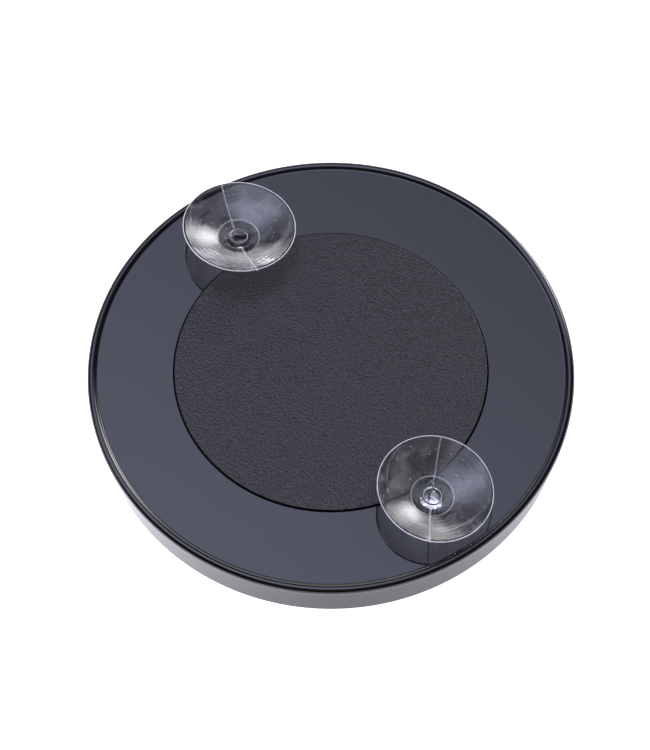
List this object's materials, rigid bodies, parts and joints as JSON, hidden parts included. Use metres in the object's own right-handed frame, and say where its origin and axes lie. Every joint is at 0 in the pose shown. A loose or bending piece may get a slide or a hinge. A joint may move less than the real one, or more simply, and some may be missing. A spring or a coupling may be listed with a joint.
{
  "type": "suction cup magnifying mirror",
  "caption": "Round concave magnifying mirror in a gloss black housing, with a grained centre panel and clear swivelling suction cups on its back.",
  "frame": {"origin": "centre of the front land, on the surface that the mirror lies on face down", "axes": "+Z out of the back, through the suction cups; the mirror faces -Z; the cups' holes lie at -57 and 123 degrees about +Z from +X"},
  "size_m": [0.088, 0.088, 0.0163],
  "materials": {
    "gloss_black": "polished black ABS",
    "grained_black": "fine leather grain, satin",
    "silvered_glass": "polished, silvered on the back",
    "black_foam": "closed-cell foam, matte",
    "clear_pvc": "clear soft PVC, glossy"
  },
  "bodies": {
    "mirror_body": {"rear_cover": "gloss_black", "front_housing": "gloss_black", "centre_panel": "grained_black", "mirror_glass": "silvered_glass", "foam_ring": "black_foam"},
    "cup_1_head": {"cup_1_head": "clear_pvc"},
    "cup_1_bell": {"cup_1_bell": "clear_pvc"},
    "cup_2_head": {"cup_2_head": "clear_pvc"},
    "cup_2_bell": {"cup_2_bell": "clear_pvc"}
  },
  "joints": [
    {"name": "cup_1_spin", "type": "hinge", "parent": "mirror_body", "child": "cup_1_head", "pos_m": [-0.0171, 0.02633, 0.0079], "axis": [0, 0, 1], "continuous": true},
    {"name": "cup_1_lean", "type": "hinge", "parent": "cup_1_head", "child": "cup_1_bell", "pos_m": [-0.0171, 0.02633, 0.0079], "axis": [-0.866, 0.5, 0], "range_deg": [-17, 0]},
    {"name": "cup_2_spin", "type": "hinge", "parent": "mirror_body", "child": "cup_2_head", "pos_m": [0.0171, -0.02633, 0.0079], "axis": [0, 0, 1], "continuous": true},
    {"name": "cup_2_lean", "type": "hinge", "parent": "cup_2_head", "child": "cup_2_bell", "pos_m": [0.0171, -0.02633, 0.0079], "axis": [-0.0872, 0.9962, 0], "range_deg": [-17, 0]}
  ]
}
